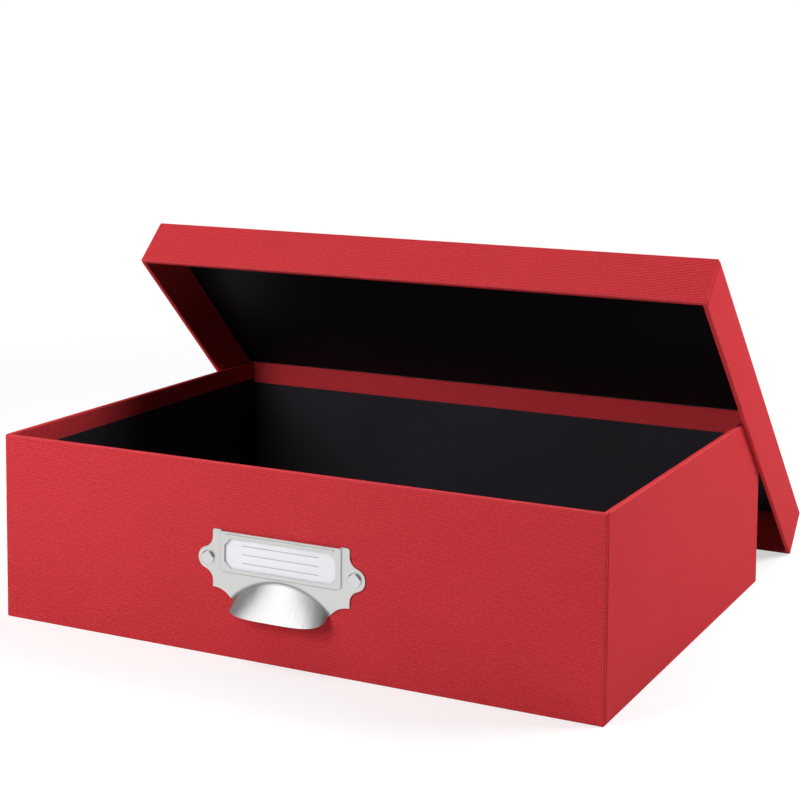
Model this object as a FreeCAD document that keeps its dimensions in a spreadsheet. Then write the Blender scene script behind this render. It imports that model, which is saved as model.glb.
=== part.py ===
import FreeCAD, Part
import math
import os
import re

# A rigid storage box covered with ribbed paper, its lift-off lid leaning on the back of it, and a stamped
# label holder with a cup pull on the front. Millimetres, +Z up, front towards -Y. The origin is the centre of
# the underside of the box.

SIZES = {
    # The box, outside its paper
    "box_length": 335,
    "box_depth": 240,
    "box_height": 97,
    # Sheet materials
    "board": 2.0,
    "paper": 0.3,
    "liner": 0.4,
    # Outer radii of the paper: upright corners, folds along the underside, folds over the rim
    "corner_radius": 0.8,
    "fold_radius": 0.8,
    "rim_radius": 0.8,
    # The paper's flaps round the corners, its turn-ins over the rim and the red bands left above the liners
    "flap_width": 15,
    "side_setback": 2.0,
    "turn_in": 18,
    "end_band": 13,
    "side_band": 10.5,
    # The lid: its play on each side of the box, its height over the rim, and how it leans
    "lid_play": 1.0,
    "lid_rim": 28.5,
    "lid_tilt": 44.8,
    "lid_shift": -0.6,
    # The label holder's plate: heights are from the line through its two rivets
    "label_height": 49,
    "sheet": 0.6,
    "rivet_spacing": 82.2,
    "lobe_radius": 5.6,
    "scallop_radius": 6.0,
    "plate_width": 76.6,
    "plate_top": 15.0,
    "plate_foot": 14.1,
    "tip_radius": 1.3,
    # The raised frame that holds the card, its window and its bead
    "frame_width": 68,
    "frame_top": 14.5,
    "frame_foot": 5.8,
    "frame_corner": 2.0,
    "frame_edge": 0.5,
    "window_width": 62.2,
    "window_height": 15.0,
    "window_foot": 3.7,
    "window_corner": 3.5,
    "bead_length": 61,
    "bead_radius": 0.7,
    "bead_proud": 0.5,
    "bead_height": 12.9,
    # The cup pull
    "cup_width": 56.3,
    "cup_crown": 7.0,
    "cup_rise": 11.6,
    "cup_side": 1.1,
    "lip_width": 53.6,
    "cup_depth": 10.0,
    "cup_drop": 5.0,
    "cup_squareness": 3.7,
    # The loose card and its play in the frame
    "card_thickness": 0.4,
    "card_play": 0.3,
    "card_top": 14.3,
    # The rivets and their washers
    "head_radius": 3.6,
    "head_height": 1.2,
    "head_edge": 0.7,
    "shank_radius": 1.7,
    "shank_play": 0.1,
    "washer_radius": 4.0,
    "washer_thickness": 0.5,
    "washer_play": 0.2,
    "tail_radius": 2.6,
    "tail_height": 0.4,
}

# How far a cutter reaches past the faces it runs through
THROUGH = 10
# Points that shape the lip of the cup
LIP_STEPS = 24

doc = FreeCAD.newDocument("storage_box")
sheet = doc.addObject("Spreadsheet::Sheet", "sizes")
for row, (alias, number) in enumerate(SIZES.items(), 1):
    sheet.set(f"A{row}", alias)
    sheet.set(f"B{row}", str(number))
    sheet.setAlias(f"B{row}", alias)
doc.recompute()

ALIAS = re.compile(r"\b(" + "|".join(SIZES) + r")\b")
nodes = []


def bind(thing, name, expression):
    """Ties one property of a thing to the sheet's sizes."""
    thing.setExpression(name, ALIAS.sub(r"sizes.\1", expression))


def size(alias):
    return float(sheet.get(alias))


def node(thing, label):
    """Marks a finished piece, which gets its own file."""
    thing.Label = label
    nodes.append(thing)
    return thing


def block(name, x, y, z):
    """A box between two expressions along each axis."""
    box = doc.addObject("Part::Box", name)
    for length, axis, (low, high) in (("Length", "x", x), ("Width", "y", y), ("Height", "z", z)):
        bind(box, length, f"({high}) - ({low})")
        bind(box, f"Placement.Base.{axis}", low)
    return box


def both(half):
    """The span from minus half to plus half."""
    return f"-({half})", half


def beside(side, near, far):
    """A span at one side of the middle: side is 1 or -1."""
    return (near, far) if side > 0 else (f"-({far})", f"-({near})")


def disc(name, x, z, radius, near, far):
    """A cylinder that stands out from the front, from one depth to another."""
    cylinder = doc.addObject("Part::Cylinder", name)
    bind(cylinder, "Radius", radius)
    bind(cylinder, "Height", f"({far}) - ({near})")
    cylinder.Placement.Rotation = FreeCAD.Rotation(FreeCAD.Vector(1, 0, 0), 90)
    bind(cylinder, "Placement.Base.x", x)
    bind(cylinder, "Placement.Base.y", f"-({near})")
    bind(cylinder, "Placement.Base.z", z)
    return cylinder


def fuse(name, things):
    joined = doc.addObject("Part::MultiFuse", name)
    joined.Shapes = things
    joined.Refine = True
    return joined


def cut(name, base, tools):
    taken = doc.addObject("Part::Cut", name)
    taken.Base = base
    taken.Tool = tools[0] if len(tools) == 1 else fuse(name + "_tools", tools)
    taken.Refine = True
    return taken


def edges(thing, *places):
    """Numbers of a thing's edges that lie wholly at the given places, such as ("z", "high")."""
    doc.recompute()
    bounds = thing.Shape.BoundBox
    ends = {
        ("x", "low"): bounds.XMin, ("x", "high"): bounds.XMax,
        ("y", "low"): bounds.YMin, ("y", "high"): bounds.YMax,
        ("z", "low"): bounds.ZMin, ("z", "high"): bounds.ZMax,
    }
    found = []
    for number, edge in enumerate(thing.Shape.Edges, 1):
        points = [vertex.Point for vertex in edge.Vertexes]
        if all(abs(getattr(p, place[0]) - ends[place]) < 1e-6 for p in points for place in places):
            found.append(number)
    return found


def edges_along(thing, axis, *places):
    """The same, and only the straight edges along one axis."""
    chosen = []
    for number in edges(thing, *places):
        points = [vertex.Point for vertex in thing.Shape.Edges[number - 1].Vertexes]
        run = points[-1] - points[0]
        if abs(getattr(run, axis)) > 0.999 * run.Length:
            chosen.append(number)
    return chosen


def soften(name, base, numbers, radius, kind="Part::Fillet"):
    rounded = doc.addObject(kind, name)
    rounded.Base = base
    rounded.Edges = [(number, radius, radius) for number in numbers]
    return rounded


def rounded_block(name, x, y, z, corner, fold):
    """A block with round upright corners and a round fold all round its underside."""
    upright = block(name + "_block", x, y, z)
    turned = soften(name + "_corners", upright, edges_along(upright, "z"), corner)
    return soften(name, turned, edges(turned, ("z", "low")), fold)


class Tray:
    """Greyboard tray in its own frame: underside centre at the origin, open side up, with its paper on it.

    Outwards from each board there are two layers of paper on the sides, the flap and the side's own sheet,
    and one at the ends. Inside each board there is one layer.
    """

    def __init__(self, name, length, depth, height, turn_in):
        self.name = name
        self.half_length = f"({length}) / 2"
        self.half_depth = f"({depth}) / 2"
        self.height = height
        self.turn_in = turn_in
        # Half lengths to the boards' outer face, to their inner face and to the paper turned in over it
        self.board_x = f"{self.half_length} - 2 * paper"
        self.board_y = f"{self.half_depth} - paper"
        self.inner_x = f"{self.board_x} - board"
        self.inner_y = f"{self.board_y} - board"
        self.open_x = f"{self.inner_x} - paper"
        self.open_y = f"{self.inner_y} - paper"
        self.floor = "paper + board"
        self.board_top = f"({height}) - paper"
        self.inner_corner = size("corner_radius") - size("paper")
        self.inner_fold = size("fold_radius") - size("paper")
        self.inner_rim = size("rim_radius") - size("paper")

    def base_board(self):
        return rounded_block(self.name + "_base", both(self.board_x), both(self.board_y),
                             ("paper", self.floor), self.inner_corner, self.inner_fold)

    def end_board(self, side):
        """The front or back board, which runs the whole length."""
        name = f"{self.name}_end_{'high' if side > 0 else 'low'}"
        panel = block(name + "_panel", both(self.board_x), beside(side, self.inner_y, self.board_y),
                      (self.floor, self.board_top))
        outside = ("y", "high" if side > 0 else "low")
        corners = soften(name + "_corners", panel, edges_along(panel, "z", outside), self.inner_corner)
        return soften(name, corners, edges(corners, ("z", "high")), self.inner_rim)

    def side_board(self, side):
        """The left or right board, between the two end boards."""
        name = f"{self.name}_side_{'high' if side > 0 else 'low'}"
        panel = block(name + "_panel", beside(side, self.inner_x, self.board_x), both(self.inner_y),
                      (self.floor, self.board_top))
        return soften(name, panel, edges_along(panel, "y", ("z", "high")), self.inner_rim)

    def hollow_form(self, name, half_x, half_y, foot, top, corner, fold, hollow, rim):
        """A tray-shaped solid with its rim rounded inside and out."""
        body = rounded_block(name + "_body", both(half_x), both(half_y), (foot, top), corner, fold)
        space = block(name + "_space", both(hollow[0]), both(hollow[1]),
                      (self.floor, f"({top}) + {THROUGH}"))
        open_body = cut(name + "_open", body, [space])
        return soften(name, open_body, edges(open_body, ("z", "high")), rim)

    def main_wrap(self, holes=()):
        """One sheet over the front, the underside and the back, with its flaps and its turn-ins."""
        name = self.name + "_wrap"
        half_x = f"{self.half_length} - paper"
        whole = self.hollow_form(name + "_whole", half_x, self.half_depth, "0", self.height,
                                 size("corner_radius"), size("fold_radius"), (self.open_x, self.open_y),
                                 size("rim_radius"))
        boards = self.hollow_form(name + "_boards", self.board_x, self.board_y, "paper", self.board_top,
                                  self.inner_corner, self.inner_fold, (self.inner_x, self.inner_y),
                                  self.inner_rim)
        over = f"({self.height}) + {THROUGH}"
        turn_foot = f"({self.height}) - ({self.turn_in})"
        tools = [boards]
        for side in (-1, 1):
            tag = "high" if side > 0 else "low"
            # Bare board between the two flaps, above the fold that the side's own sheet starts from
            tools.append(block(f"{name}_window_{tag}", beside(side, self.open_x, f"{half_x} + {THROUGH}"),
                               both(f"{self.half_depth} - flap_width"), ("fold_radius", over)))
            # The side's rim and inner face, which the side's own sheet covers
            tools.append(block(f"{name}_rim_{tag}", beside(side, self.open_x, self.board_x),
                               both(self.open_y), (self.floor, over)))
            # The flaps stop short of the fold over the rim
            tools.append(block(f"{name}_flap_{tag}", beside(side, self.board_x, f"{half_x} + {THROUGH}"),
                               both(f"{self.half_depth} - side_setback"),
                               (f"({self.height}) - 3 * paper", over)))
            # The inner face below the turn-in
            tools.append(block(f"{name}_below_{tag}", both(self.inner_x),
                               beside(side, self.open_y, self.inner_y), (self.floor, turn_foot)))
        return cut(name, whole, tools + list(holes))

    def side_wrap(self, side):
        """The left or right sheet: over the flaps, over the rim and a short way down inside."""
        name = f"{self.name}_side_wrap_{'high' if side > 0 else 'low'}"
        over = f"({self.height}) + {THROUGH}"
        outer = block(name + "_outer", beside(side, self.open_x, self.half_length), both(self.open_y),
                      ("fold_radius", self.height))
        folded = soften(name + "_folded", outer, edges_along(outer, "y", ("z", "high")), size("rim_radius"))
        core = block(name + "_core", beside(side, self.inner_x, f"{self.half_length} - paper"),
                     both(f"{self.open_y} + {THROUGH}"), ("0", self.board_top))
        round_core = soften(name + "_round_core", core, edges_along(core, "y", ("z", "high")),
                            self.inner_rim)
        below = block(name + "_below", beside(side, f"{self.open_x} - {THROUGH}", self.inner_x),
                      both(f"{self.open_y} + {THROUGH}"), ("0", f"({self.height}) - ({self.turn_in})"))
        sheet_part = cut(name + "_sheet", folded, [round_core, below])
        # The outer face runs on beyond the rim's fold, nearly to the corners
        face = block(name + "_face", beside(side, f"{self.half_length} - paper", self.half_length),
                     both(f"{self.half_depth} - side_setback"),
                     ("fold_radius", f"({self.height}) - rim_radius"))
        return fuse(name, [sheet_part, face])

    def floor_liner(self):
        panel = block(self.name + "_floor_liner_panel", both(self.open_x), both(self.open_y),
                      (self.floor, f"{self.floor} + liner"))
        return soften(self.name + "_floor_liner", panel, edges_along(panel, "z"), size("liner"))

    def wall_liner(self, name, x, y, band):
        """A liner on one wall, from the floor liner up to the band that is left bare."""
        return block(name, x, y, (f"{self.floor} + liner", f"({self.height}) - ({band})"))


def lean(thing):
    """Places a piece of the lid, upside down: its back rim on the ground, its liner on the box's back rim."""
    rim_inside = "(lid_rim - paper - board - liner)"
    foot_y = f"(box_depth / 2 + (box_height * cos(lid_tilt) - {rim_inside}) / sin(lid_tilt))"
    bind(thing, "Placement.Rotation.Axis.x", "1")
    bind(thing, "Placement.Rotation.Axis.z", "0")
    bind(thing, "Placement.Rotation.Angle", "180 - lid_tilt")
    bind(thing, "Placement.Base.x", "lid_shift")
    bind(thing, "Placement.Base.y", f"{foot_y} - {LID_DEPTH} / 2 * cos(lid_tilt) + lid_rim * sin(lid_tilt)")
    bind(thing, "Placement.Base.z", f"{LID_DEPTH} / 2 * sin(lid_tilt) + lid_rim * cos(lid_tilt)")
    return thing


def on_front(thing):
    """Places a piece of the label holder: its own origin is between the rivets, on the front's paper."""
    bind(thing, "Placement.Base.y", "-box_depth / 2")
    bind(thing, "Placement.Base.z", "label_height")
    return thing


LID_LENGTH = "(box_length + 2 * (lid_play + 3 * paper + board))"
LID_DEPTH = "(box_depth + 2 * (lid_play + 2 * paper + board))"
RIVET_X = "rivet_spacing / 2"

# The box

box = Tray("box", "box_length", "box_depth", "box_height", "turn_in")
node(box.base_board(), "box_base_board")

shank_holes = []
washer_seats = []
for side in (-1, 1):
    tag = "right" if side > 0 else "left"
    rivet_x = RIVET_X if side > 0 else f"-({RIVET_X})"
    hole = disc(f"shank_hole_{tag}", rivet_x, "label_height", "shank_radius + shank_play",
                f"box_depth / 2 - {THROUGH}", f"box_depth / 2 + {THROUGH}")
    seat = disc(f"washer_seat_{tag}", rivet_x, "label_height", "washer_radius + washer_play",
                f"box_depth / 2 - paper - board - {THROUGH}",
                "box_depth / 2 - paper - board + washer_thickness + tail_height")
    shank_holes.append(hole)
    washer_seats.append(seat)
front_board = box.end_board(-1)
node(cut("box_front_holed", front_board, shank_holes + washer_seats), "box_front_board")
node(box.end_board(1), "box_back_board")
node(box.side_board(-1), "box_left_board")
node(box.side_board(1), "box_right_board")
node(box.main_wrap(shank_holes), "box_main_wrap")
node(box.side_wrap(-1), "box_left_wrap")
node(box.side_wrap(1), "box_right_wrap")

node(box.floor_liner(), "box_floor_liner")
liner_x = f"{box.open_x} - liner"
liner_y = f"{box.open_y} - liner"
for side, label in ((-1, "box_front_liner"), (1, "box_back_liner")):
    near_wall = beside(side, liner_y, box.open_y)
    node(box.wall_liner(label + "_panel", both(box.open_x), near_wall, "end_band"), label)
for side, label in ((-1, "box_left_liner"), (1, "box_right_liner")):
    near_wall = beside(side, liner_x, box.open_x)
    node(box.wall_liner(label + "_panel", near_wall, both(liner_y), "side_band"), label)

# The label holder's plate. Depth is measured outwards from the paper.

lobe_gap = "(plate_width / 2 + scallop_radius - rivet_spacing / 2)"
scallop_z = f"sqrt((lobe_radius + scallop_radius)^2 - {lobe_gap}^2)"
web_x = f"{RIVET_X} + {lobe_gap} * lobe_radius / (lobe_radius + scallop_radius)"
cup_end_z = "(-cup_crown - cup_rise)"
foot_drop = f"(-plate_foot - {cup_end_z})"
foot_x = "(plate_width / 2 - sheet)"
foot_radius = f"(({foot_x} - cup_width / 2)^2 + {foot_drop}^2) / (2 * {foot_drop})"
cup_arc = "((cup_width / 2)^2 + cup_rise^2) / (2 * cup_rise)"

plate_body = block("plate_body", both("plate_width / 2"), ("-sheet", "0"), (cup_end_z, "plate_top"))
tips = soften("plate_tips", plate_body, edges_along(plate_body, "y", ("z", "high")), size("tip_radius"))
added = [tips]
taken = [disc("cup_mouth", "0", f"-cup_crown - {cup_arc}", f"{cup_arc} - sheet", f"-{THROUGH}", THROUGH)]
for side in (-1, 1):
    tag = "right" if side > 0 else "left"
    rivet_x = RIVET_X if side > 0 else f"-({RIVET_X})"
    scallop_x = f"{side} * (plate_width / 2 + scallop_radius)"
    added.append(block(f"plate_web_{tag}", beside(side, "plate_width / 2 - lobe_radius", web_x),
                       ("-sheet", "0"), both(scallop_z)))
    added.append(disc(f"plate_lobe_{tag}", rivet_x, "0", "lobe_radius", "0", "sheet"))
    taken.append(disc(f"rivet_hole_{tag}", rivet_x, "0", "shank_radius + shank_play",
                      f"-{THROUGH}", THROUGH))
    taken.append(disc(f"foot_scallop_{tag}", f"{side} * {foot_x}", f"-plate_foot - {foot_radius}",
                      foot_radius, f"-{THROUGH}", THROUGH))
    for up in (-1, 1):
        taken.append(disc(f"scallop_{tag}_{'top' if up > 0 else 'foot'}", scallop_x, f"{up} * {scallop_z}",
                          "scallop_radius", f"-{THROUGH}", THROUGH))
plate = cut("plate", fuse("plate_whole", added), taken)

# The raised frame with a pocket behind it, open at the top, where the card slips in

frame_front = "(card_thickness + 2 * card_play + sheet)"
frame_block = block("frame_block", both("frame_width / 2"), (f"-{frame_front}", "0"),
                    ("-frame_foot", "frame_top"))
frame_feet = soften("frame_feet", frame_block, edges_along(frame_block, "y", ("z", "low")),
                    size("frame_corner"))
front_edges = [n for n in edges(frame_feet, ("y", "low"))
               if n not in edges(frame_feet, ("y", "low"), ("z", "high"))]
frame = soften("frame", frame_feet, front_edges, size("frame_edge"))
bead_parts = []
bead_y = f"-{frame_front} - bead_proud + bead_radius"
bead_bar = doc.addObject("Part::Cylinder", "bead_bar")
bead_bar.Placement.Rotation = FreeCAD.Rotation(FreeCAD.Vector(0, 1, 0), 90)
bind(bead_bar, "Radius", "bead_radius")
bind(bead_bar, "Height", "bead_length - 2 * bead_radius")
bind(bead_bar, "Placement.Base.x", "-bead_length / 2 + bead_radius")
bind(bead_bar, "Placement.Base.y", bead_y)
bind(bead_bar, "Placement.Base.z", "bead_height")
bead_parts.append(bead_bar)
for side in (-1, 1):
    ball = doc.addObject("Part::Sphere", f"bead_end_{'right' if side > 0 else 'left'}")
    bind(ball, "Radius", "bead_radius")
    bind(ball, "Placement.Base.x", f"{side} * (bead_length / 2 - bead_radius)")
    bind(ball, "Placement.Base.y", bead_y)
    bind(ball, "Placement.Base.z", "bead_height")
    bead_parts.append(ball)

pocket = block("card_pocket", both("frame_width / 2 - sheet"), (f"-{frame_front} + sheet", f"{THROUGH}"),
               ("-frame_foot + sheet", f"plate_top + {THROUGH}"))
window_block = block("window_block", both("window_width / 2"), (f"-{frame_front} - {THROUGH}", "0"),
                     ("-window_foot", "window_height - window_foot"))
window = soften("window", window_block, edges_along(window_block, "y"), size("window_corner"),
                "Part::Chamfer")


def cup_skin(gap):
    """The root on the paper and the lip of one skin of the cup, both from +X to -X, set in by a gap."""
    half = size("cup_width") / 2 - gap
    end_z = -size("cup_crown") - size("cup_rise")
    root = Part.Arc(FreeCAD.Vector(half, 0, end_z), FreeCAD.Vector(0, 0, -size("cup_crown") - gap),
                    FreeCAD.Vector(-half, 0, end_z)).toShape()
    # The lip is a squared-off half oval that droops towards its middle
    lip_half = size("lip_width") / 2 - gap
    bend = 2 / size("cup_squareness")
    points = []
    for step in range(LIP_STEPS + 1):
        angle = math.pi * step / LIP_STEPS
        across = math.copysign(abs(math.cos(angle)) ** bend, math.cos(angle)) * lip_half
        out = abs(math.sin(angle)) ** bend * (size("cup_depth") - gap)
        droop = size("cup_drop") * out / size("cup_depth")
        points.append(FreeCAD.Vector(across, -out, end_z - size("cup_side") - droop))
    lip = Part.BSplineCurve()
    lip.interpolate(points)
    return root, lip.toShape()


def closed(outer, inner):
    """A closed wire from an outer and an inner edge that both run from +X to -X."""
    first, last = outer.Vertexes[0].Point, outer.Vertexes[-1].Point
    inner_first, inner_last = inner.Vertexes[0].Point, inner.Vertexes[-1].Point
    return Part.Wire([outer, Part.makeLine(last, inner_last), inner, Part.makeLine(inner_first, first)])


outer_root, outer_lip = cup_skin(0)
inner_root, inner_lip = cup_skin(size("sheet"))
cup = doc.addObject("Part::Feature", "cup")
cup.Shape = Part.makeLoft([closed(outer_root, inner_root), closed(outer_lip, inner_lip)], True, True)

holder_body = fuse("holder_body", [plate, frame] + bead_parts)
holder_open = cut("holder_open", holder_body, [pocket, window])
holder = fuse("holder", [holder_open, cup])
node(on_front(holder), "label_holder")

card = doc.addObject("Part::Box", "card")
bind(card, "Length", "frame_width - 2 * sheet - 2 * card_play")
bind(card, "Width", "card_thickness")
bind(card, "Height", "card_top + frame_foot - sheet - card_play")
bind(card, "Placement.Base.x", "-frame_width / 2 + sheet + card_play")
bind(card, "Placement.Base.y", "-box_depth / 2 - card_play - card_thickness")
bind(card, "Placement.Base.z", "label_height - frame_foot + sheet + card_play")
node(card, "label_card")

# The rivets: a flat-domed head, a shank through plate, paper and board, and a tail clenched on a washer


def group(label, make):
    """Two like pieces, left and right, as one node."""
    pieces = [make(f"{label}_{'right' if side > 0 else 'left'}", side) for side in (-1, 1)]
    pair = doc.addObject("Part::Compound", label + "_pair")
    pair.Links = pieces
    return node(on_front(pair), label)


def rivet(name, side):
    x = f"{side} * {RIVET_X}"
    tail_end = "(-paper - board)"
    head_blank = disc(name + "_blank", x, "0", "head_radius", "sheet", "sheet + head_height")
    head = soften(name + "_head", head_blank, edges(head_blank, ("y", "low")), size("head_edge"))
    shank = disc(name + "_shank", x, "0", "shank_radius", tail_end, "sheet + head_height / 2")
    tail = disc(name + "_tail", x, "0", "tail_radius", tail_end, f"{tail_end} + tail_height")
    return fuse(name, [head, shank, tail])


def washer(name, side):
    x = f"{side} * {RIVET_X}"
    near = "(-paper - board + tail_height)"
    plate_ring = disc(name + "_disc", x, "0", "washer_radius", near, f"{near} + washer_thickness")
    bore = disc(name + "_bore", x, "0", "shank_radius + shank_play",
                f"{near} - {THROUGH}", f"{near} + {THROUGH}")
    return cut(name, plate_ring, [bore])


group("holder_rivets", rivet)
group("rivet_washers", washer)

# The lid is a shallower and wider tray of the same make. Upside down, its own +Y end is its front.

lid = Tray("lid", LID_LENGTH, LID_DEPTH, "lid_rim", "lid_rim - paper - board - liner - paper")
node(lean(lid.base_board()), "lid_top_board")
node(lean(lid.end_board(1)), "lid_front_board")
node(lean(lid.end_board(-1)), "lid_back_board")
node(lean(lid.side_board(-1)), "lid_left_board")
node(lean(lid.side_board(1)), "lid_right_board")
node(lean(lid.main_wrap()), "lid_main_wrap")
node(lean(lid.side_wrap(-1)), "lid_left_wrap")
node(lean(lid.side_wrap(1)), "lid_right_wrap")
node(lean(lid.floor_liner()), "lid_liner")

doc.recompute()

for thing in doc.Objects:
    if "Invalid" in thing.State or "Error" in thing.State:
        raise RuntimeError(f"{thing.Name} failed: {thing.State}")
os.makedirs("parts", exist_ok=True)
for piece in nodes:
    shape = piece.Shape
    if shape.isNull() or not shape.isValid() or not shape.Solids:
        raise RuntimeError(f"{piece.Label} has no sound solid")
    print(f"{piece.Label}: {len(shape.Solids)} solid, {shape.Volume:.1f} mm3")
for piece in nodes:
    piece.Shape.exportStep(f"parts/{piece.Label}.step")
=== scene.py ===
import bmesh
import bpy
import math
from mathutils import Matrix, Vector

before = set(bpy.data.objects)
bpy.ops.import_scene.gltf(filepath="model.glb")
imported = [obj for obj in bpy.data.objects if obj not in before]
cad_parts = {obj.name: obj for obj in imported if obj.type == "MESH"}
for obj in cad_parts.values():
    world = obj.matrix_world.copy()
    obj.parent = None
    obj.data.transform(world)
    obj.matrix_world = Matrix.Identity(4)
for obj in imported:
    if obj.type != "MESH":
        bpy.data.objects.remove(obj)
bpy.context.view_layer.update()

# Sizes of the box, its lid and its label holder, in metres

BOX_HALF = (0.1675, 0.120)
BOX_HEIGHT = 0.097
LID_HALF = (0.1714, 0.1236)
LID_HEIGHT = 0.0285
LID_TILT = math.radians(44.8)
LID_PLACE = (-0.0006, 0.11345, 0.10731)
HOLDER_MIDDLE = 0.049
PLATE_FACE = -0.1206
FRAME_HALF, FRAME_TOP, FRAME_FOOT, FRAME_CORNER = 0.0340, 0.0145, 0.0058, 0.0020
CUP_ARC = 0.03996
CUP_CENTRE = 0.00204

# The camera, at the photograph's place and angle

EYE = Vector((0.43603, -0.83496, 0.3038))
AZIMUTH, ELEVATION, ROLL = (math.radians(a) for a in (25.5688, 5.1847, 0.5615))
SENSOR_WIDTH, FOCAL_LENGTH = 36, 79.584
SHIFT_X, SHIFT_Y = -0.075, -0.25

# Colours of the object, most of them as a low and a high end that a fine noise mixes

RED_LOW = (0.475, 0.028, 0.036, 1)
RED_HIGH = (0.675, 0.056, 0.064, 1)
# A lighter red for the level edges: wear, and a painted highlight along them
RED_WEAR_AND_HIGHLIGHT = (0.74, 0.100, 0.110, 1)
# One black card for box and lid, painted lighter in the box and darker in the lid: lit and shaded
# copies
BOX_BLACKS_PAINTED_LIGHT = (0.0215, 0.0205, 0.0260, 1), (0.0280, 0.0270, 0.0340, 1)
LID_BLACKS_PAINTED_SHADE = (0.0065, 0.0055, 0.0075, 1), (0.0095, 0.0080, 0.0105, 1)
BOARD_GREYS = (0.30, 0.29, 0.27, 1), (0.52, 0.51, 0.48, 1)
BOARD_SPECK = (0.16, 0.15, 0.14, 1)
PLATE_GREYS = (0.655, 0.655, 0.64, 1), (0.735, 0.735, 0.72, 1)
CUP_GREYS = (0.80, 0.80, 0.80, 1), (0.93, 0.93, 0.93, 1)
RIVET_GREYS = (0.64, 0.64, 0.64, 1), (0.72, 0.72, 0.72, 1)
METAL_SHADE = (0.02, 0.02, 0.02, 1)
CARD_WHITES = (0.86, 0.88, 0.92, 1), (0.90, 0.92, 0.955, 1)
RULE_GREY = (0.22, 0.23, 0.25, 1)
WHITE = (1, 1, 1, 1)

# Scales of the noises, in cycles a metre: of the cover paper along its ribs, across them and through
# the sheet, and of the mottle and the rest along X, Y and Z

WAVE_SCALES, PATCH_SCALES, FIBRE_SCALES = (370, 115, 0), (550, 700, 0), (1400, 3600, 900)
MOTTLE_SCALES = (24, 24, 24)
LINER_SCALES, CLOUD_SCALES = (2600, 2600, 2600), (18, 18, 18)
PULP_SCALES, SPECK_SCALES = (900, 900, 3000), (1500, 1500, 1500)
SATIN_SCALES, STROKE_SCALES, BAND_SCALES = (1800, 1800, 1800), (5200, 260, 260), (420, 30, 30)
SCRATCH_SCALES = (900, 900, 5200)
CARD_SCALES = (3000, 3000, 3000)

# Heights of the relief, in metres

RIB_RELIEF, FIBRE_RELIEF = 0.00011, 0.00003
LINER_RELIEF, BOARD_RELIEF = 0.00002, 0.00008
HOLDER_RELIEF, RIVET_RELIEF, CARD_RELIEF = 0.000010, 0.000002, 0.00001

# How wide an edge between two tones is

SOFT_EDGE = 0.0001

# Cover paper: the ribs' pitch, how far they stray, how faint they get and how much of the tone they
# make, how far in from the side's outer face the main sheet's flaps begin and are whole, and how far
# the lighter edges (wear, and a painted highlight) reach from an edge and how strong they are there

RIB_PITCH = 0.000985
RIB_STRAY = 0.00095
RIB_FAINTEST = 0.45
# The ribs' share of the tone is painted shading of their light and dark lines, on top of their
# relief
RIB_SHARE, FIBRE_SHARE, MOTTLE_SHARE = 1.10, 0.26, 0.20
TONE_SPAN = (0.26, 1.02)
FLAP_BEGINS, FLAP_WHOLE = 0.0017, 0.0015
WEAR_AND_HIGHLIGHT_SPAN = (0.0002, 0.0007)
WEAR_AND_HIGHLIGHT_RANGE = (0.45, 0.95)

# Label holder's plate, with painted shade along its stamped lines and edges: how far from its middle
# the painted shade of a stamped line is whole and gone, how dark the painted shade round the frame's
# outline is and where on the right it grows faint, how far inside the cup's arc the painted dark
# line at the root lies, how dark it and the painted shade beside it are, and the place of the cut
# edge behind the plate's face, which is painted darker

LINE_SPAN = (0.0001, 0.0005)
OUTLINE_WEIGHT = 0.55
FAINT_SPAN, FAINT_WEIGHT = (0.030, 0.033), 0.2
ROOT_INSET, ROOT_WEIGHT = 0.0002, 0.45
ROOT_SHADE_WIDTH, ROOT_SHADE = 0.0016, 0.14
CUT_EDGE_BEGINS, CUT_EDGE_WHOLE, CUT_EDGE_SHADE = 0.00002, 0.00015, 0.5

# Label holder's cup: how far it stands in front of the plate's face, and where its ends are painted
# darker, a painted shade for a darker reflection

CUP_WHOLE, CUP_BEGINS = 0.0004, 0.0001
CUP_ENDS, CUP_END_SHADE = (0.015, 0.027), 0.30

# The card's plain rules: heights from the line through the rivets, half length and ink

RULE_HEIGHTS = (0.0083, 0.0040, -0.0003)
RULE_HALF = 0.0215
RULE_SPAN = (0.00010, 0.00022)
RULE_INK = 0.85


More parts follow.
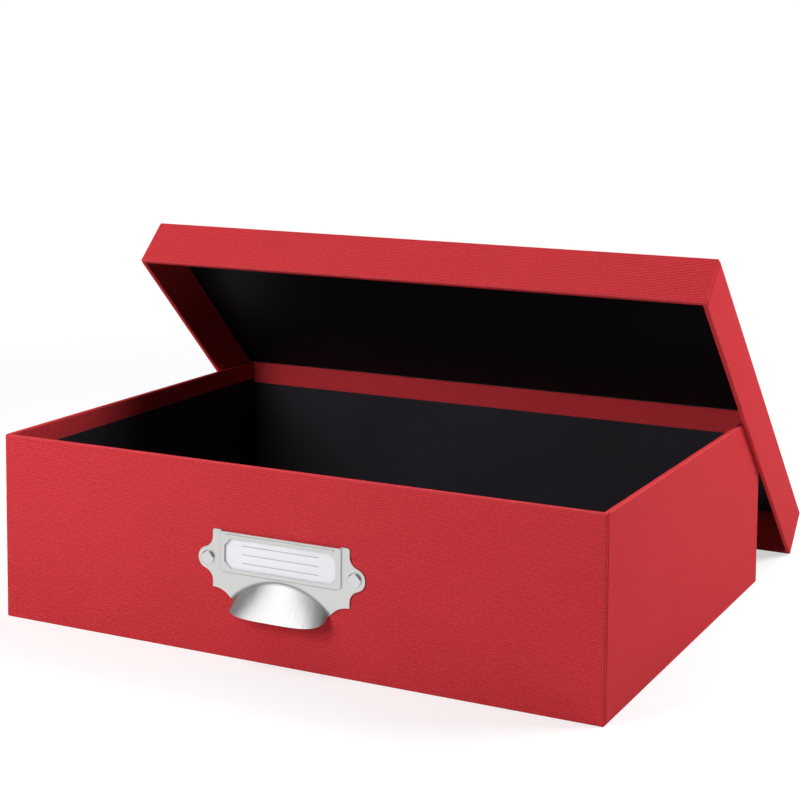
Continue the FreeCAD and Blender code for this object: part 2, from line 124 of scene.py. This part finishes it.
class Nodes:
    """A node tree, with short ways to add and link nodes."""

    def __init__(self, tree):
        self.tree = tree

    def node(self, kind, inputs=None, **settings):
        made = self.tree.nodes.new(kind)
        for name, setting in settings.items():
            setattr(made, name, setting)
        for socket, source in (inputs or {}).items():
            self.feed(made.inputs[socket], source)
        return made

    def feed(self, socket, source):
        if isinstance(source, bpy.types.NodeSocket):
            self.tree.links.new(source, socket)
        else:
            socket.default_value = source

    def math(self, operation, *sources):
        return self.node("ShaderNodeMath", dict(enumerate(sources)), operation=operation).outputs[0]

    def between(self, source, low, high, to_low=0.0, to_high=1.0, smooth=False):
        """The source taken from the span low to high into the span to_low to to_high, and held."""
        spans = {"Value": source, "From Min": low, "From Max": high,
                 "To Min": to_low, "To Max": to_high}
        kind = "SMOOTHSTEP" if smooth else "LINEAR"
        return self.node("ShaderNodeMapRange", spans, interpolation_type=kind).outputs[0]

    def fading(self, source, low, high, most=1.0, smooth=False):
        """The most up to low, and nothing from high."""
        return self.between(source, low, high, most, 0.0, smooth)

    def weighted(self, *parts):
        """The sum of sources, each times its share."""
        total = 0.0
        for source, share in reversed(parts):
            total = self.math("MULTIPLY_ADD", source, share, total)
        return total

    def apart(self, source, other):
        return self.math("ABSOLUTE", self.math("SUBTRACT", source, other))

    def length(self, a, b):
        return self.math("SQRT", self.math("ADD", self.math("MULTIPLY", a, a),
                                           self.math("MULTIPLY", b, b)))

    def split(self, vector):
        parts = self.node("ShaderNodeSeparateXYZ", {0: vector}).outputs
        return parts[0], parts[1], parts[2]

    def blend(self, factor, low, high):
        return self.node("ShaderNodeMixShader",
                         {0: factor, 1: low.outputs[0], 2: high.outputs[0]})

    def seen_directly(self):
        """1 for rays that show the background to the eye, in metal or through glass, else 0."""
        path = self.node("ShaderNodeLightPath").outputs
        return self.math("MAXIMUM", path["Is Camera Ray"],
                         self.math("MAXIMUM", path["Is Glossy Ray"], path["Is Transmission Ray"]))

    def show(self, shader, output):
        self.tree.links.new(shader.outputs[0], self.tree.nodes[output].inputs["Surface"])


class Surface(Nodes):
    """A material's node tree, with its shader, object coordinates and noise."""

    def __init__(self, name, **uniform):
        self.material = bpy.data.materials.new(name)
        self.material.use_nodes = True
        super().__init__(self.material.node_tree)
        self.shader = self.tree.nodes["Principled BSDF"]
        for socket, number in uniform.items():
            self.shader.inputs[socket.replace("_", " ")].default_value = number

    def mix(self, factor, low, high):
        made = self.node("ShaderNodeMix", data_type="RGBA")
        sockets = made.inputs[0], made.inputs[6], made.inputs[7]
        for socket, source in zip(sockets, (factor, low, high)):
            self.feed(socket, source)
        return made.outputs[2]

    def place(self, location=(0, 0, 0), turn=0.0):
        """Coordinates in metres in a frame that has this place and this turn about X."""
        where = self.node("ShaderNodeTexCoord").outputs["Object"]
        moved = self.node("ShaderNodeMapping", {"Vector": where, "Location": location,
                                                "Rotation": (turn, 0, 0)}, vector_type="TEXTURE")
        return self.split(moved.outputs[0])

    def noise(self, x, y, z, scales, detail=2.0, roughness=0.5):
        """Noise with its own scale, in cycles a metre, along each axis."""
        scaled = [self.math("MULTIPLY", part, scale) for part, scale in zip((x, y, z), scales)]
        joined = self.node("ShaderNodeCombineXYZ", dict(enumerate(scaled))).outputs[0]
        return self.node("ShaderNodeTexNoise", {"Vector": joined, "Scale": 1.0, "Detail": detail,
                                                "Roughness": roughness}).outputs[0]

    def bump(self, height, distance, normal=None):
        made = self.node("ShaderNodeBump",
                         {"Height": height, "Distance": distance, "Strength": 1.0})
        if normal:
            self.feed(made.inputs["Normal"], normal)
        return made.outputs[0]

    def finish(self, colour, roughness, normal):
        sources = {"Base Color": colour, "Roughness": roughness, "Normal": normal}
        for socket, source in sources.items():
            self.feed(self.shader.inputs[socket], source)
        return self.material


def make_camera():
    back = Vector((math.sin(AZIMUTH) * math.cos(ELEVATION),
                   -math.cos(AZIMUTH) * math.cos(ELEVATION), math.sin(ELEVATION)))
    level_right = Vector((0, 0, 1)).cross(back).normalized()
    level_up = back.cross(level_right)
    right = level_right * math.cos(ROLL) + level_up * math.sin(ROLL)
    up = level_up * math.cos(ROLL) - level_right * math.sin(ROLL)
    data = bpy.data.cameras.new("camera")
    data.sensor_width = SENSOR_WIDTH
    data.lens = FOCAL_LENGTH
    data.shift_x = SHIFT_X
    data.shift_y = SHIFT_Y
    camera = bpy.data.objects.new("camera", data)
    bpy.context.scene.collection.objects.link(camera)
    turn = Matrix((right, up, back)).transposed()
    camera.matrix_world = Matrix.Translation(EYE) @ turn.to_4x4()
    bpy.context.scene.camera = camera


def near_edge(surface, x, y, z, half, height):
    """How close a point is to a level edge of a box-shaped tray, from 0 to 1."""
    gap_x = surface.math("SUBTRACT", half[0], surface.math("ABSOLUTE", x))
    gap_y = surface.math("SUBTRACT", half[1], surface.math("ABSOLUTE", y))
    gap_z = surface.math("MINIMUM", z, surface.math("SUBTRACT", height, z))
    gap = surface.math("MAXIMUM", gap_z, surface.math("MINIMUM", gap_x, gap_y))
    return surface.fading(gap, *WEAR_AND_HIGHLIGHT_SPAN, smooth=True)


def cover_paper(name, upright, half, height, location=(0, 0, 0), turn=0.0):
    """Red paper with fine wavy ribs, upright on the side sheets and lengthways on the main one."""
    surface = Surface(name, Specular_IOR_Level=0.005)
    x, y, z = surface.place(location, turn)
    aside = surface.math("ABSOLUTE", x)
    if upright:
        across = y
        along = surface.math("ADD", z, aside)
    else:
        # On the flaps round the corners the ribs stay level, so depth stands still there
        depth = surface.math("ABSOLUTE", y)
        flap = surface.between(aside, half[0] - FLAP_BEGINS, half[0] - FLAP_WHOLE)
        depth = surface.math("MULTIPLY_ADD", flap, surface.math("SUBTRACT", half[1], depth), depth)
        across = surface.math("ADD", z, depth)
        along = x
    wave = surface.noise(along, across, z, WAVE_SCALES, detail=2.0, roughness=0.6)
    drift = surface.math("MULTIPLY", surface.math("SUBTRACT", wave, 0.5), RIB_STRAY)
    angle = surface.math("MULTIPLY", surface.math("ADD", across, drift), 2 * math.pi / RIB_PITCH)
    rib = surface.math("MULTIPLY_ADD", surface.math("SINE", angle), 0.5, 0.5)
    patches = surface.noise(along, across, z, PATCH_SCALES, detail=1.0)
    ribs = surface.math("MULTIPLY", rib, surface.between(patches, 0.3, 0.7, RIB_FAINTEST, 1.0))
    fibre = surface.noise(along, across, z, FIBRE_SCALES, detail=3.0, roughness=0.6)
    mottle = surface.noise(x, y, z, MOTTLE_SCALES, detail=4.0, roughness=0.6)
    # The ribs also lighten and darken the red: painted shading of their lines, on top of the bump
    tone = surface.weighted((ribs, RIB_SHARE), (fibre, FIBRE_SHARE), (mottle, MOTTLE_SHARE))
    red = surface.mix(surface.between(tone, *TONE_SPAN), RED_LOW, RED_HIGH)
    # Lighter level edges: wear, and a painted highlight along them
    worn_and_lit = surface.math("MULTIPLY", near_edge(surface, x, y, z, half, height),
                        surface.between(fibre, 0.3, 0.7, *WEAR_AND_HIGHLIGHT_RANGE))
    colour = surface.mix(worn_and_lit, red, RED_WEAR_AND_HIGHLIGHT)
    roughness = surface.between(fibre, 0.2, 0.8, 0.46, 0.62)
    normal = surface.bump(ribs, RIB_RELIEF, surface.bump(fibre, FIBRE_RELIEF))
    return surface.finish(colour, roughness, normal)


def liner_card(name, low, high):
    """Smooth black card with a faint grain."""
    surface = Surface(name, Specular_IOR_Level=0.08)
    x, y, z = surface.place()
    grain = surface.noise(x, y, z, LINER_SCALES, detail=3.0, roughness=0.6)
    cloud = surface.noise(x, y, z, CLOUD_SCALES, detail=3.0)
    colour = surface.mix(surface.between(cloud, 0.3, 0.7), low, high)
    roughness = surface.between(grain, 0.2, 0.8, 0.42, 0.56)
    return surface.finish(colour, roughness, surface.bump(grain, LINER_RELIEF))


def greyboard(name):
    """Raw board made of mixed recycled fibres."""
    surface = Surface(name, Specular_IOR_Level=0.2)
    x, y, z = surface.place()
    fibre = surface.noise(x, y, z, PULP_SCALES, detail=5.0, roughness=0.7)
    speck = surface.between(surface.noise(x, y, z, SPECK_SCALES, detail=2.0), 0.62, 0.7)
    colour = surface.mix(speck, surface.mix(fibre, *BOARD_GREYS), BOARD_SPECK)
    roughness = surface.between(fibre, 0.2, 0.8, 0.75, 0.95)
    return surface.finish(colour, roughness, surface.bump(fibre, BOARD_RELIEF))


def frame_outline_shade(surface, x, z):
    """A thin line of painted shade round the sides and the foot of the label holder's raised frame.
    """
    reach = surface.math("SUBTRACT", surface.math("ABSOLUTE", x), FRAME_HALF - FRAME_CORNER)
    fall = surface.math("SUBTRACT", HOLDER_MIDDLE - FRAME_FOOT + FRAME_CORNER, z)
    beyond = surface.length(surface.math("MAXIMUM", reach, 0.0), surface.math("MAXIMUM", fall, 0.0))
    top = HOLDER_MIDDLE + FRAME_TOP
    line = surface.math("MULTIPLY", surface.fading(surface.apart(beyond, FRAME_CORNER), *LINE_SPAN),
                        surface.fading(z, top, top + SOFT_EDGE))
    # Fainter down the right side
    return surface.math("MULTIPLY", line, surface.between(x, *FAINT_SPAN, 1.0, FAINT_WEIGHT))


def holder_metal(name):
    """Satin stamped sheet, with a brushed cup whose strokes run from its root to its lip."""
    surface = Surface(name, Metallic=1.0)
    x, y, z = surface.place()
    radius = surface.length(x, surface.math("SUBTRACT", z, CUP_CENTRE))
    inside = surface.fading(radius, CUP_ARC - SOFT_EDGE, CUP_ARC + SOFT_EDGE)
    proud = surface.fading(y, PLATE_FACE - CUP_WHOLE, PLATE_FACE - CUP_BEGINS)
    cup = surface.math("MULTIPLY", inside, proud)
    satin = surface.noise(x, y, z, SATIN_SCALES, detail=3.0, roughness=0.6)
    stroke = surface.noise(x, y, z, STROKE_SCALES, detail=3.0, roughness=0.65)
    band = surface.noise(x, y, z, BAND_SCALES, detail=2.0, roughness=0.6)
    brushed = surface.weighted((stroke, 0.6), (band, 0.4))
    grain = surface.node("ShaderNodeMix", {0: cup, 2: satin, 3: brushed},
                         data_type="FLOAT").outputs[0]
    # The plate, with painted shade where it is stamped and on its cut edge
    root_shade_line = surface.fading(surface.apart(radius, CUP_ARC - ROOT_INSET), *LINE_SPAN, ROOT_WEIGHT)
    root_shade = surface.fading(radius, CUP_ARC, CUP_ARC + ROOT_SHADE_WIDTH, ROOT_SHADE,
                                smooth=True)
    outline = surface.math("MULTIPLY", frame_outline_shade(surface, x, z), OUTLINE_WEIGHT)
    # Painted shade along the frame's outline and at the cup's root
    stamped = surface.math("MAXIMUM", outline, surface.math("ADD", root_shade_line, root_shade))
    crease_shade = surface.math("MULTIPLY", surface.math("SUBTRACT", 1.0, cup), stamped)
    painted_edge_shade = surface.between(y, PLATE_FACE + CUT_EDGE_BEGINS, PLATE_FACE + CUT_EDGE_WHOLE,
                               0.0, CUT_EDGE_SHADE)
    plate_tone = surface.mix(surface.math("MAXIMUM", crease_shade, painted_edge_shade),
                             surface.mix(satin, *PLATE_GREYS), METAL_SHADE)
    # The cup, painted darker towards its two ends: painted shade standing in for a darker reflection
    ends = surface.between(surface.math("ABSOLUTE", x), *CUP_ENDS, 0.0, CUP_END_SHADE, smooth=True)
    cup_tone = surface.mix(ends, surface.mix(surface.between(brushed, 0.35, 0.65), *CUP_GREYS),
                           METAL_SHADE)
    colour = surface.mix(cup, plate_tone, cup_tone)
    roughness = surface.between(grain, 0.25, 0.75, 0.28, 0.36)
    return surface.finish(colour, roughness, surface.bump(grain, HOLDER_RELIEF))


def rivet_metal(name):
    """Polished heads with a few fine scratches."""
    surface = Surface(name, Metallic=1.0)
    x, y, z = surface.place()
    scratch = surface.noise(x, y, z, SCRATCH_SCALES, detail=3.0, roughness=0.6)
    colour = surface.mix(scratch, *RIVET_GREYS)
    roughness = surface.between(scratch, 0.3, 0.7, 0.05, 0.10)
    return surface.finish(colour, roughness, surface.bump(scratch, RIVET_RELIEF))


def label_paper(name):
    """Smooth white card with three plain grey rules."""
    surface = Surface(name, Specular_IOR_Level=0.4)
    x, y, z = surface.place()
    grain = surface.noise(x, y, z, CARD_SCALES, detail=3.0)
    within = surface.fading(surface.math("ABSOLUTE", x), RULE_HALF, RULE_HALF + SOFT_EDGE)
    inked = 0.0
    for height in RULE_HEIGHTS:
        gap = surface.apart(z, HOLDER_MIDDLE + height)
        line = surface.math("MULTIPLY", surface.fading(gap, *RULE_SPAN), within)
        inked = surface.math("MAXIMUM", inked, line)
    colour = surface.mix(surface.math("MULTIPLY", inked, RULE_INK),
                         surface.mix(grain, *CARD_WHITES), RULE_GREY)
    roughness = surface.between(grain, 0.3, 0.7, 0.42, 0.55)
    return surface.finish(colour, roughness, surface.bump(grain, CARD_RELIEF))


def dress(names, material):
    for name in names:
        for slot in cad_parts[name].material_slots:
            slot.material = material


def nodes_named(start, end):
    return [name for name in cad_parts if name.startswith(start) and name.endswith(end)]


def dress_object():
    # The lid's own frame has its open side up, and it leans open side down
    lid = (LID_HALF, LID_HEIGHT, LID_PLACE, math.pi - LID_TILT)
    dress(["box_main_wrap"], cover_paper("box_main_paper", False, BOX_HALF, BOX_HEIGHT))
    dress(["box_left_wrap", "box_right_wrap"],
          cover_paper("box_side_paper", True, BOX_HALF, BOX_HEIGHT))
    dress(["lid_main_wrap"], cover_paper("lid_main_paper", False, *lid))
    dress(["lid_left_wrap", "lid_right_wrap"], cover_paper("lid_side_paper", True, *lid))
    # The same liner card twice, painted lighter in the box and darker in the lid, as painted light
    # and shade
    dress(nodes_named("box_", "_liner"), liner_card("box_liner_card_painted_light", *BOX_BLACKS_PAINTED_LIGHT))
    dress(["lid_liner"], liner_card("lid_liner_card_painted_shade", *LID_BLACKS_PAINTED_SHADE))
    dress(nodes_named("", "_board"), greyboard("greyboard"))
    dress(["label_holder"], holder_metal("holder_metal"))
    dress(["holder_rivets", "rivet_washers"], rivet_metal("rivet_metal"))
    dress(["label_card"], label_paper("label_paper"))


# The stage: a pale floor that fades into a white background, studio walls and soft lamps

WORLD_GLOW = 0.04
FLOOR_RADIUS, FLOOR_DROP = 6.0, 0.00005
FLOOR_COLOUR = (0.80, 0.80, 0.80, 1)
FLOOR_UNDER_GLOW = (0.50, 0.50, 0.50, 1)
FLOOR_GLOW = 0.60
FLOOR_FADE = (0.35, 0.9)
WALL_RADIUS, WALL_HEIGHT = 2.0, 4.0
WALL_GLOW = 0.03

# Brightness of the walls by the angle round the object, in degrees to the right of the front, its
# highest value, and the two angles above the floor between which the brightness sets in

PANEL_GLOW = ((-90, 0.05), (-84, 0.40), (-72, 0.25), (-62, 0.05), (-51, 0.05), (-38, 1.60),
              (-26, 1.70), (-19, 0.55), (0, 0.32), (50, 0.24), (60, 0.10))
PANEL_MOST = 1.70
PANEL_RISE = (math.radians(4.5), math.radians(7))

# Each lamp's name, place, aim, size and power

LAMPS = (
    ("left_softbox", (-0.40, -0.75, 0.45), (-0.1, -0.1, 0.05), (0.5, 0.4), 5.0),
    ("top_softbox", (-0.30, -0.35, 0.95), (-0.05, 0, 0.1), (0.6, 0.5), 2.3),
    ("right_softbox", (0.60, 0.25, 0.60), (0.17, 0.05, 0.05), (0.4, 0.4), 5.1),
    ("back_softbox", (0.0, 0.85, 1.2), (0, 0, 0.08), (1.0, 0.7), 8),
    ("front_fill", (0.8, -1.1, 0.9), (0, 0, 0.08), (0.8, 0.6), 0.2),
)


def make_world():
    world = bpy.data.worlds.new("world")
    bpy.context.scene.world = world
    world.use_nodes = True
    nodes = Nodes(world.node_tree)
    light = nodes.tree.nodes["Background"]
    light.inputs["Color"].default_value = WHITE
    light.inputs["Strength"].default_value = WORLD_GLOW
    shown = nodes.node("ShaderNodeBackground", {"Color": WHITE})
    nodes.show(nodes.blend(nodes.seen_directly(), light, shown), "World Output")


def make_floor():
    """A pale floor, shown almost white with the object's shadow, that fades into the background."""
    bpy.ops.mesh.primitive_circle_add(vertices=96, radius=FLOOR_RADIUS, fill_type="NGON",
                                      location=(0, 0, -FLOOR_DROP))
    floor = bpy.context.active_object
    floor.name = "floor"
    surface = Surface("floor", Base_Color=FLOOR_COLOUR, Roughness=0.9, Specular_IOR_Level=0.1)
    matt = surface.node("ShaderNodeBsdfDiffuse", {"Color": FLOOR_UNDER_GLOW})
    glow = surface.node("ShaderNodeEmission", {"Strength": FLOOR_GLOW})
    lifted = surface.node("ShaderNodeAddShader", {0: matt.outputs[0], 1: glow.outputs[0]})
    white = surface.node("ShaderNodeEmission")
    where = surface.node("ShaderNodeTexCoord").outputs["Object"]
    distance = surface.node("ShaderNodeVectorMath", {0: where}, operation="LENGTH")
    fade = surface.between(distance.outputs["Value"], *FLOOR_FADE)
    to_camera = surface.node("ShaderNodeLightPath").outputs["Is Camera Ray"]
    shown = surface.blend(to_camera, white, surface.blend(fade, lifted, white))
    surface.show(surface.blend(surface.seen_directly(), surface.shader, shown), "Material Output")
    floor.data.materials.append(surface.material)


def make_studio_walls():
    """Dark walls and a soft white panel at the front left, which only metal and gloss reflect."""
    bpy.ops.mesh.primitive_cylinder_add(vertices=64, radius=WALL_RADIUS, depth=WALL_HEIGHT,
                                        end_fill_type="NGON", location=(0, 0, WALL_HEIGHT / 2))
    walls = bpy.context.active_object
    walls.name = "studio_walls"
    shell = bmesh.new()
    shell.from_mesh(walls.data)
    foot = [face for face in shell.faces if face.normal.z < -0.5]
    bmesh.ops.delete(shell, geom=foot, context="FACES_ONLY")
    shell.to_mesh(walls.data)
    shell.free()
    surface = Surface("studio_walls")
    x, y, z = surface.split(surface.node("ShaderNodeNewGeometry").outputs["Position"])
    turn = surface.math("ARCTAN2", x, surface.math("MULTIPLY", y, -1.0))
    rise = surface.math("ARCTAN2", z, surface.length(x, y))
    ramp = surface.node("ShaderNodeValToRGB",
                        {"Fac": surface.between(turn, -math.pi / 2, math.pi / 2)})
    steps = ramp.color_ramp.elements
    while len(steps) < len(PANEL_GLOW):
        steps.new(0.5)
    for step, (angle, strength) in zip(steps, PANEL_GLOW):
        step.position = (angle + 90) / 180
        step.color = (strength / PANEL_MOST,) * 3 + (1,)
    panel = surface.math("MULTIPLY", ramp.outputs["Color"], surface.between(rise, *PANEL_RISE))
    strength = surface.math("MULTIPLY_ADD", panel, PANEL_MOST, WALL_GLOW)
    surface.show(surface.node("ShaderNodeEmission", {"Strength": strength}), "Material Output")
    walls.data.materials.append(surface.material)
    for ray in ("camera", "diffuse", "shadow", "transmission", "volume_scatter"):
        setattr(walls, "visible_" + ray, False)


def make_lamp(name, place, aim, size, power):
    data = bpy.data.lights.new(name, "AREA")
    data.shape = "RECTANGLE"
    data.size, data.size_y = size
    data.energy = power
    lamp = bpy.data.objects.new(name, data)
    bpy.context.scene.collection.objects.link(lamp)
    lamp.location = place
    lamp.rotation_euler = (Vector(aim) - Vector(place)).to_track_quat("-Z", "Y").to_euler()
    lamp.visible_camera = False
    lamp.visible_glossy = False


make_camera()
dress_object()
make_world()
make_floor()
make_studio_walls()
for lamp in LAMPS:
    make_lamp(*lamp)
bpy.context.scene.view_settings.view_transform = "Standard"
